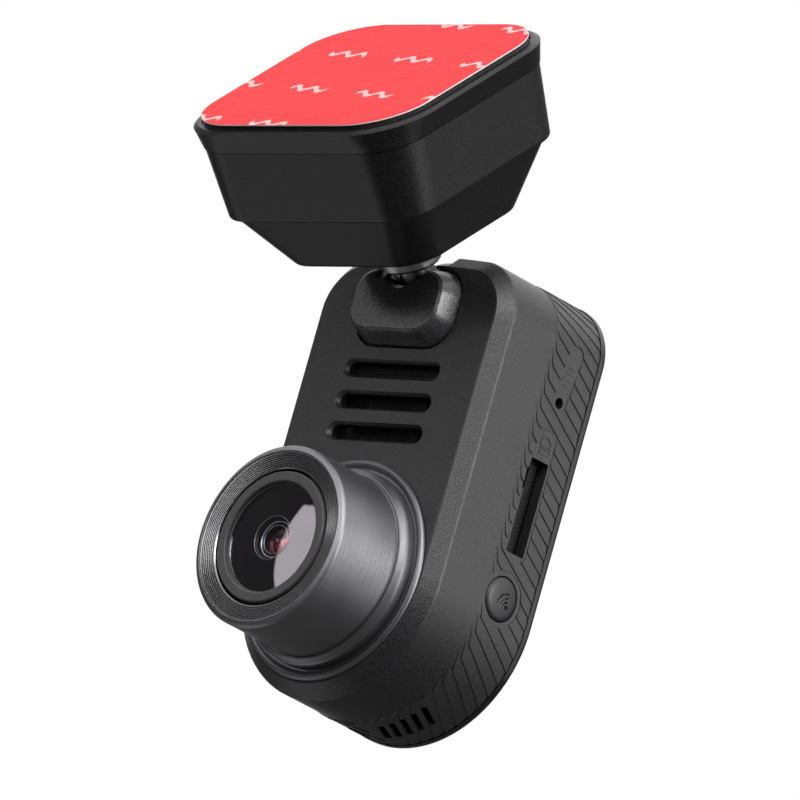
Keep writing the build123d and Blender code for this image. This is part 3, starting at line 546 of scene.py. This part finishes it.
for side, tag in ((1, "right"), (-1, "left")):
    v, f = ribs(side)
    band = raw("rib_band_" + tag, v, f)
    place = side_place(side)
    if side > 0:
        shapes = [circle_pts(13.5, 1.8, 3.75), rrect_pts(11.55, 15.75, 7.55, 21.45, 0.5),
                  rrect_pts(12.0, 15.6, 21.0, 25.2, 0.6), capsule_pts(14.1, 29.2, 14.9, 36.0, 1.35)]
    else:
        shapes = [circle_pts(13.5, 1.8, 3.75), rrect_pts(10.6, 15.3, 9.1, 19.9, 2.3)]
    cutters = []
    for i, pts in enumerate(shapes):
        cv, cf = prism(pts, 15.0, 19.0, place)
        cutters.append(raw("cutter_%d" % i, cv, cf))
    for i in range(5):
        a = math.radians(9.0 + 6.05 * i)
        tw = math.radians(24.0)
        cv, cf = [], [(0, 1, 2, 3), (7, 6, 5, 4), (0, 4, 5, 1), (1, 5, 6, 2), (2, 6, 7, 3), (3, 7, 4, 0)]
        for dz in (-20.0, -15.0):
            for dx, dy in ((-0.5, -2.25), (0.5, -2.25), (0.5, 2.25), (-0.5, 2.25)):
                px = dx * math.cos(tw) - dy * math.sin(tw)
                py = dx * math.sin(tw) + dy * math.cos(tw)
                x = px * math.cos(a) - dz * math.sin(a)
                z = px * math.sin(a) + dz * math.cos(a)
                cv.append(L(side * x, 14.2 + py, z))
        cutters.append(raw("cutter_v%d" % i, cv, cf))
    half = raw("half_space", [L(side * x, y, z) for x in (-20, 0.05) for y in (0, 30) for z in (-25, 60)],
               [(0, 1, 3, 2), (4, 6, 7, 5), (0, 4, 5, 1), (2, 3, 7, 6), (0, 2, 6, 4), (1, 5, 7, 3)])
    cutters.append(half)
    cut(band, cutters)
    finish_piece(band, MAT["casing_rib"], "camera", angle=28.0)

# ----------------------------------------------------------------------
# raised pictograms on the right wall: card and sound level
# ----------------------------------------------------------------------
def stroke(points, width, h0, h1, place):
    """A raised stroke with softened edges along 2-D points."""
    verts, faces = [], []
    n = len(points)
    prof = [(-0.5, h0), (-0.42, h1), (0.42, h1), (0.5, h0)]
    for i, p in enumerate(points):
        a = points[max(i - 1, 0)]
        b = points[min(i + 1, n - 1)]
        d = Vector((b[0] - a[0], b[1] - a[1]))
        d.normalize()
        nx, ny = -d.y, d.x
        for t, h in prof:
            verts.append(place(p[0] + nx * t * width, p[1] + ny * t * width, h))
    m = len(prof)
    for i in range(n - 1):
        for j in range(m):
            j2 = (j + 1) % m
            faces.append((i * m + j, (i + 1) * m + j, (i + 1) * m + j2, i * m + j2))
    faces.append(tuple(range(m)))
    faces.append(tuple(range((n - 1) * m + m - 1, (n - 1) * m - 1, -1)))
    return verts, faces


def joined(parts):
    verts, faces = [], []
    for v, f in parts:
        b = len(verts)
        verts += v
        faces += [tuple(i + b for i in t) for t in f]
    return verts, faces


wall = lambda y, z, h: L(W2 + h, y, z)
card = [(12.9, 22.0), (12.9, 24.3), (14.0, 24.3), (14.8, 23.6), (14.8, 22.0), (12.9, 22.0)]
icon = [stroke(card, 0.26, -0.05, 0.10, wall)]
for y in (13.35, 13.85, 14.3):
    icon.append(stroke([(y, 22.5), (y, 23.1)], 0.22, -0.05, 0.10, wall))
v, f = joined(icon)
make("card_pictogram", v, f, MAT["casing_rib"], "camera", smooth=False)
bars = []
for i, hh in enumerate((0.45, 0.95, 0.65, 0.30)):
    z = 31.7 + 0.85 * i
    y = 14.4 + 0.09 * i
    bars.append(stroke([(y - hh, z), (y + hh, z + 0.0)], 0.24, -0.05, 0.09, wall))
v, f = joined(bars)
make("sound_pictogram", v, f, MAT["casing_rib"], "camera", smooth=False)

# buttons with engraved pictograms
def engraved(node, name, parts):
    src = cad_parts[node]
    o = bpy.data.objects.new(name, src.data.copy())
    bpy.context.scene.collection.objects.link(o)
    bm = bmesh.new()
    bm.from_mesh(o.data)
    bmesh.ops.remove_doubles(bm, verts=bm.verts, dist=2e-7)
    bmesh.ops.recalc_face_normals(bm, faces=bm.faces)
    bm.to_mesh(o.data)
    bm.free()
    cutters = []
    for i, (v, f) in enumerate(parts):
        cutters.append(raw("%s_cut%d" % (name, i), v, f))
    cut(o, cutters)
    finish_piece(o, MAT["button_plastic"], node, (node,), angle=30.0)
    return o


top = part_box("wireless_button")[1][0] / MM
press = lambda y, z, h: L(top + h, y, z)
parts = []
cy, cz0 = 14.45, 0.85
for r in (0.72, 1.25, 1.78):
    pts = []
    for i in range(17):
        a = math.radians(92 + 86 * i / 16)
        pts.append((cy + r * math.cos(a), cz0 + r * math.sin(a)))
    parts.append(stroke(pts, 0.19, -0.36, 0.3, press))
parts.append(prism(circle_pts(cy, cz0, 0.30, 24), -0.36, 0.3, press))
engraved("wireless_button", "wireless_key", parts)

topl = -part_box("power_button")[0][0] / MM
pressl = lambda y, z, h: L(-(topl + h), y, z)
pts = []
for i in range(25):
    a = math.radians(125 + 290 * i / 24)
    pts.append((13.5 + 1.25 * math.cos(a), 1.8 + 1.25 * math.sin(a)))
engraved("power_button", "power_key", [stroke(pts, 0.26, -0.42, 0.3, pressl), stroke([(13.5, 2.2), (13.5, 3.6)], 0.26, -0.42, 0.3, pressl)])

# ----------------------------------------------------------------------
# foam tape with a torn, porous edge
# ----------------------------------------------------------------------
def rsq_outline(half, r, n_side=70, n_corner=60):
    pts = []
    s = half - r
    for c, (cx, cy2, a0) in enumerate(((s, s, 0), (-s, s, 90), (-s, -s, 180), (s, -s, 270))):
        for i in range(n_corner):
            a = math.radians(a0 + 90 * i / n_corner)
            pts.append((cx + r * math.cos(a), cy2 + r * math.sin(a), math.cos(a), math.sin(a)))
        a = math.radians(a0 + 90)
        nx, ny = math.cos(a), math.sin(a)
        ax_, ay_ = cx + r * nx, cy2 + r * ny
        dx, dy = -ny, nx
        for i in range(n_side):
            t = 2 * s * i / n_side
            pts.append((ax_ + dx * t, ay_ + dy * t, nx, ny))
    return pts


def foam_edge():
    ring = rsq_outline(18.0, 8.35)
    n = len(ring)
    levels = [-1.148, -1.02, -0.88, -0.74, -0.60, -0.46, -0.32, -0.20, -0.152]
    verts, faces = [], []
    for li, z in enumerate(levels):
        edge = 0 if li in (0, len(levels) - 1) else 1
        for i, (x, y, nx, ny) in enumerate(ring):
            w = noise.noise(Vector((x * 2.1, y * 2.1, z * 3.2))) * 0.5 + 0.5
            w2 = noise.noise(Vector((x * 6.3 + 7, y * 6.3, z * 7.0))) * 0.5 + 0.5
            d = 0.06 + edge * (0.20 * w + 0.14 * w2) + (1 - edge) * 0.05
            verts.append(M(x - nx * d, y - ny * d, z))
    for li in range(len(levels) - 1):
        for i in range(n):
            a = li * n + i
            b = li * n + (i + 1) % n
            faces.append((a, b, b + n, a + n))
    for li, z in ((0, levels[0]), (len(levels) - 1, levels[-1])):
        c = len(verts)
        verts.append(M(0, 0, z))
        for i in range(n):
            a = li * n + i
            b = li * n + (i + 1) % n
            faces.append((a, c, b) if li else (a, b, c))
    return verts, faces


v, f = foam_edge()
make("foam_tape_body", v, f, MAT["foam_tape"], "mount", replaces=("foam_tape_pad",), angle=60)

# ----------------------------------------------------------------------
# speaker gauze: woven wires behind the slots
# ----------------------------------------------------------------------
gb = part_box("speaker_gauze")
gx0, gx1 = gb[0][0] / MM, gb[1][0] / MM
gy = (gb[0][1] + gb[1][1]) / 2 / MM - OFF_Y
gz0, gz1 = gb[0][2] / MM - OFF_Z, gb[1][2] / MM - OFF_Z


def wire(p0, p1, amp, phase, steps, r, axis):
    verts, faces = [], []
    for i in range(steps + 1):
        t = i / steps
        c = p0 + (p1 - p0) * t
        w = amp * math.cos(PI * i + phase)
        for k in range(6):
            a = 2 * PI * k / 6
            if axis == "x":
                verts.append(L(c.x, c.y + w + r * math.cos(a), c.z + r * math.sin(a)))
            else:
                verts.append(L(c.x + r * math.cos(a), c.y + w + r * math.sin(a), c.z))
    for i in range(steps):
        for k in range(6):
            k2 = (k + 1) % 6
            faces.append((i * 6 + k, i * 6 + k2, (i + 1) * 6 + k2, (i + 1) * 6 + k))
    faces.append(tuple(range(5, -1, -1)))
    faces.append(tuple(range(steps * 6, steps * 6 + 6)))
    return verts, faces


weave = []
pitch = 0.42
nx_w = int((gx1 - gx0 - 0.3) / pitch)
nz_w = int((gz1 - gz0 - 0.3) / pitch)
for j in range(nz_w):
    z = gz0 + 0.25 + j * pitch
    weave.append(wire(Vector((gx0 + 0.05, gy, z)), Vector((gx0 + 0.05 + nx_w * pitch, gy, z)), 0.035, PI * j, nx_w, 0.055, "x"))
for i in range(nx_w):
    x = gx0 + 0.26 + i * pitch
    weave.append(wire(Vector((x, gy, gz0 + 0.05)), Vector((x, gy, gz0 + 0.05 + nz_w * pitch)), 0.035, PI * (i + 1), nz_w, 0.055, "z"))
v, f = joined(weave)
make("speaker_weave", v, f, MAT["gauze"], "camera", replaces=("speaker_gauze",))

# ----------------------------------------------------------------------
# card slot: dimpled guide on the front wall
# ----------------------------------------------------------------------
guide = []
for i in range(22):
    z = 8.35 + i * 0.58
    for j, y in enumerate((13.98, 14.52, 15.06)):
        zz = z + (0.29 if j % 2 else 0.0)
        if zz > 20.8:
            continue
        pv, pf = lathe([(0.0, 0.0), (0.20, 0.0), (0.15, 0.10), (0.0, 0.15)], 10,
                       lambda r, h, a, y=y, zz=zz: L(15.55 + h, y + r * math.cos(a), zz + r * math.sin(a)))
        guide.append((pv, pf))
plate = prism(rrect_pts(13.75, 15.30, 8.02, 20.98, 0.05), 15.35, 15.56, lambda y, z, x: L(x, y, z))
guide.append(plate)
v, f = joined(guide)
make("card_guide", v, f, MAT["slot_black"], "camera")

# ----------------------------------------------------------------------
# lens: iris ring and coated front glass details
# ----------------------------------------------------------------------
def coat_material():
    n = Net("iris_red")
    fine = n.noise(4000.0, 2.0)
    col = n.ramp(fine, [(0.3, (0.16, 0.012, 0.012)), (0.7, (0.30, 0.030, 0.024))])
    return n.set(color=col, rough=n.span(fine, 0.3, 0.7, 0.2, 0.32), metal=0.4, normal=n.bump(fine, 0.3, 0.000004))


RING_R0, RING_R1, RING_Y0, RING_Y1, RING_YB, RING_CUT = 9.42, 11.66, -13.12, -13.44, -12.05, 0.12


def groove_profile():
    """Front ring section: shallow funnel with V grooves, read outwards then back."""
    pts = [(RING_R0, RING_YB), (RING_R0, RING_Y0 + 0.10), (RING_R0 + 0.10, RING_Y0)]
    count = 7
    span_r = RING_R1 - RING_R0 - 0.35
    for i in range(count):
        r0 = RING_R0 + 0.18 + span_r * i / count
        w = span_r / count
        for t, d in ((0.0, 0.0), (0.30, 0.0), (0.55, RING_CUT), (0.75, RING_CUT), (0.98, 0.0)):
            r = r0 + w * t
            pts.append((r, RING_Y0 + (RING_Y1 - RING_Y0) * (r - RING_R0) / (RING_R1 - RING_R0) + d))
    pts += [(RING_R1, RING_Y1), (RING_R1, RING_YB)]
    return pts


v, f = lathe(groove_profile(), 160, on_lens)
make("front_ring_grooved", v, f, MAT["ring_metal"], "camera", replaces=("front_ring",), angle=12)

# Near-black rings laid inside the front ring's grooves and along its inner gap: painted shade standing in for the
# shadow down in the grooves and the gap.
groove_v, groove_f = [], []
for i in range(7):
    w = (RING_R1 - RING_R0 - 0.35) / 7
    ra = RING_R0 + 0.18 + w * (i + 0.44)
    rb = ra + w * 0.44
    ya, yb = (RING_Y0 + (RING_Y1 - RING_Y0) * (r - RING_R0) / (RING_R1 - RING_R0) for r in (ra, rb))
    v, f = lathe([(ra, ya + 0.035), (rb, yb + 0.035), (rb, yb + 0.10), (ra, ya + 0.10)], 160, on_lens)
    base = len(groove_v)
    groove_v += v
    groove_f += [tuple(k + base for k in q) for q in f]
v, f = lathe([(9.36, -13.04), (9.41, -13.04), (9.41, -12.1), (9.36, -12.1)], 160, on_lens)
base = len(groove_v)
groove_v += v
groove_f += [tuple(k + base for k in q) for q in f]
make("front_ring_groove_shade", groove_v, groove_f, MAT["slot_black"], "camera", angle=12)

MAT["iris_red"] = coat_material()
v, f = lathe([(1.25, -6.75), (2.9, -6.75), (2.9, -6.6), (1.25, -6.6)], 72, on_lens)
make("iris_ring", v, f, MAT["iris_red"], "camera")


def dome_points(r, apex, edge, n=14):
    """Radial profile of a spherical cap from the axis to radius r."""
    rise = abs(edge - apex)
    big = (r * r + rise * rise) / (2 * rise)
    sign = 1.0 if edge > apex else -1.0
    return [(r * i / n, apex + sign * (big - math.sqrt(big * big - (r * i / n) ** 2))) for i in range(n + 1)]


def cap_solid(name, front, back, material, replaces=(), n=128, angle=40):
    """Closed lens: front profile outwards, back profile inwards, on the lens axis."""
    pts = front + back[::-1]
    verts, faces = [], []
    m = len(pts)
    for j in range(n):
        a = 2 * PI * j / n
        for r, y in pts:
            verts.append(on_lens(max(r, 0.0), y, a))
    for j in range(n):
        k = (j + 1) % n
        for i in range(m - 1):
            faces.append((j * m + i, j * m + i + 1, k * m + i + 1, k * m + i))
    return make(name, verts, faces, material, "camera", replaces=replaces, angle=angle)


cap_solid("window_dome", dome_points(7.36, -12.97, -12.72, 18), dome_points(7.36, -12.71, -12.46, 18),
          MAT["window_glass"], ("front_window",))
n = Net("window_ink")
ink = n.noise(1400.0, 2.0)
MAT["window_ink"] = n.set(color=n.ramp(ink, [(0.3, (0.0016, 0.0016, 0.0018)), (0.7, (0.0026, 0.0026, 0.0028))]),
                          rough=n.span(ink, 0.3, 0.7, 0.012, 0.020), ior=1.9, spec=0.5, tint=(1.0, 0.93, 0.97))
mask_front = [(r, y) for r, y in dome_points(7.34, -12.70, -12.45, 36) if r >= 2.98]
mask_back = [(r, y + 0.03) for r, y in mask_front]
v, f = lathe(mask_front + mask_back[::-1], 128, on_lens)
make("window_mask", v, f, MAT["window_ink"], "camera", angle=40)
cap_solid("front_lens", dome_points(2.42, -11.94, -11.06, 16) + [(2.42, -10.38)], [(0.0, -10.9), (1.0, -10.8), (1.9, -10.5), (2.42, -10.38)][:3],
          MAT["lens_glass"], ("front_element",))


def bright_material():
    n = Net("ring_bright")
    fine = n.noise(5000.0, 2.0)
    col = n.ramp(fine, [(0.3, (0.50, 0.50, 0.52)), (0.7, (0.66, 0.66, 0.68))])
    return n.set(color=col, metal=1.0, rough=n.span(fine, 0.3, 0.7, 0.16, 0.26), normal=n.bump(fine, 0.3, 0.000002))


MAT["ring_bright"] = bright_material()
for name, r, y, w in (("cell_ring_outer", 3.02, -12.68, 0.05), ("cell_ring_inner", 2.50, -11.92, 0.13), ("cell_ring_mid", 2.95, -12.22, 0.05), ("cell_ring_deep", 1.98, -11.98, 0.05)):
    prof = [(r + w * math.cos(2 * PI * i / 12), y + 0.6 * w * math.sin(2 * PI * i / 12)) for i in range(12)]
    v, f = lathe(prof, 96, on_lens)
    make(name, v, f, MAT["ring_bright"], "camera")


def coated(name, a, b, rough):
    n = Net(name)
    fine = n.noise(2600.0, 2.0)
    col = n.ramp(fine, [(0.35, a), (0.65, b)])
    return n.set(color=col, metal=1.0, rough=n.span(fine, 0.3, 0.7, rough, rough * 1.5), normal=n.bump(fine, 0.2, 0.000004))


MAT["coat_red"] = coated("coat_red", (0.75, 0.02, 0.03), (0.95, 0.06, 0.06), 0.22)
MAT["coat_violet"] = coated("coat_violet", (0.16, 0.03, 0.05), (0.26, 0.06, 0.08), 0.20)
cap_solid("second_lens", dome_points(1.25, -10.66, -10.28, 10), [(0.0, -10.10), (0.6, -10.10), (1.25, -10.10)], MAT["coat_red"])
cap_solid("second_lens_rim", [(1.32, -10.45), (1.45, -10.55), (2.0, -10.42)], [(1.32, -10.2), (1.45, -10.18), (2.0, -10.2)], MAT["coat_violet"])

# ----------------------------------------------------------------------
# floor, light and camera
# ----------------------------------------------------------------------
fl = bpy.data.meshes.new("floor")
fl.from_pydata([(-6, -6, 0), (6, -6, 0), (6, 6, 0), (-6, 6, 0)], [], [(0, 1, 2, 3)])
floor = bpy.data.objects.new("floor", fl)
floor.location = (0, 0, -0.62)
bpy.context.scene.collection.objects.link(floor)
n = Net("floor_pale")
fine = n.noise(20.0, 2.0)
floor_mat = n.set(color=n.ramp(fine, [(0.3, (0.86, 0.86, 0.86)), (0.7, (0.90, 0.90, 0.90))]), rough=n.span(fine, 0.3, 0.7, 0.7, 0.8))
fl.materials.append(floor_mat)
floor.visible_diffuse = False
floor.visible_glossy = False
floor.visible_transmission = False

world = bpy.data.worlds.new("studio")
bpy.context.scene.world = world
world.use_nodes = True
wt = world.node_tree
wt.nodes.clear()
w_out = wt.nodes.new("ShaderNodeOutputWorld")
tc = wt.nodes.new("ShaderNodeTexCoord")
norm = wt.nodes.new("ShaderNodeVectorMath")
norm.operation = "NORMALIZE"
wt.links.new(tc.outputs["Generated"], norm.inputs[0])


def w_math(op, a, b):
    m = wt.nodes.new("ShaderNodeMath")
    m.operation = op
    for s, x in zip(m.inputs, (a, b)):
        if hasattr(x, "node"):
            wt.links.new(x, s)
        else:
            s.default_value = x
    return m.outputs[0]


def w_map(v, a, b, c, d):
    m = wt.nodes.new("ShaderNodeMapRange")
    m.interpolation_type = "SMOOTHSTEP"
    for s, x in zip(("From Min", "From Max", "To Min", "To Max"), (a, b, c, d)):
        m.inputs[s].default_value = x
    wt.links.new(v, m.inputs["Value"])
    return m.outputs["Result"]


def lobe(direction, inner, outer, level):
    """Soft light patch: full inside `inner` degrees, gone past `outer`."""
    d = Vector(direction).normalized()
    dt = wt.nodes.new("ShaderNodeVectorMath")
    dt.operation = "DOT_PRODUCT"
    wt.links.new(norm.outputs[0], dt.inputs[0])
    dt.inputs[1].default_value = tuple(d)
    return w_map(dt.outputs["Value"], math.cos(math.radians(outer)), math.cos(math.radians(inner)), 0.0, level)


sepw = wt.nodes.new("ShaderNodeSeparateXYZ")
wt.links.new(norm.outputs[0], sepw.inputs[0])
sky = w_map(sepw.outputs[2], 0.30, 0.98, 0.090, 1.55)
total = sky
for d, i0, o0, lv in (((0.61, -0.61, 0.51), 5, 22, 6.2),
                      ((0.03, -0.93, 0.34), 8, 21, 3.0),
                      ((0.80, 0.56, -0.22), 5, 19, 0.9),
                      ((-0.72, 0.62, 0.34), 8, 26, 0.8),
                      ((0.76, 0.61, 0.22), 4, 20, 0.95),
                      ((0.96, 0.20, 0.23), 4, 20, 9.0),
                      ((-0.62, -0.02, -0.78), 10, 26, 0.75),
                      ((0.50, 0.69, 0.52), 6, 26, 0.30)):
    total = w_math("ADD", total, lobe(d, i0, o0, lv))
box_light = lobe((-0.568, -0.808, 0.21), 7.6, 7.9, 2.7)
box_top = w_map(sepw.outputs[2], 0.277, 0.283, 1.0, 0.0)
total = w_math("ADD", total, w_math("MULTIPLY", box_light, box_top))
bg = wt.nodes.new("ShaderNodeBackground")
wt.links.new(total, bg.inputs["Strength"])
bg.inputs["Color"].default_value = (1, 1, 1, 1)
white = wt.nodes.new("ShaderNodeBackground")
white.inputs["Color"].default_value = (1, 1, 1, 1)
white.inputs["Strength"].default_value = 1.0
lp = wt.nodes.new("ShaderNodeLightPath")
mixw = wt.nodes.new("ShaderNodeMixShader")
wt.links.new(lp.outputs["Is Camera Ray"], mixw.inputs[0])
wt.links.new(bg.outputs[0], mixw.inputs[1])
wt.links.new(white.outputs[0], mixw.inputs[2])
wt.links.new(mixw.outputs[0], w_out.inputs["Surface"])
bpy.context.scene.view_settings.view_transform = "Standard"

RIGHT = Vector((0.7265649419, 0.6341926455, 0.2643918938))
UP = Vector((-0.0388634321, -0.3462476531, 0.9373378240))
BACK = Vector((0.6859978271, -0.6913119781, -0.2269245032))
cam = bpy.data.cameras.new("camera")
cam.sensor_width = 36.0
cam.lens = 7.6770962318 * 1963.7995878 * 36.0 / 800.0
cam.clip_start = 0.05
cam.clip_end = 40.0
cam_obj = bpy.data.objects.new("camera", cam)
bpy.context.scene.collection.objects.link(cam_obj)
spot = RIGHT * 8.46185 + UP * 22.25801 + BACK * 1963.79959
rot = Matrix((RIGHT, UP, BACK)).transposed().to_4x4()
cam_obj.matrix_world = Matrix.Translation(L(spot.x, spot.y, spot.z)) @ rot
bpy.context.scene.camera = cam_obj
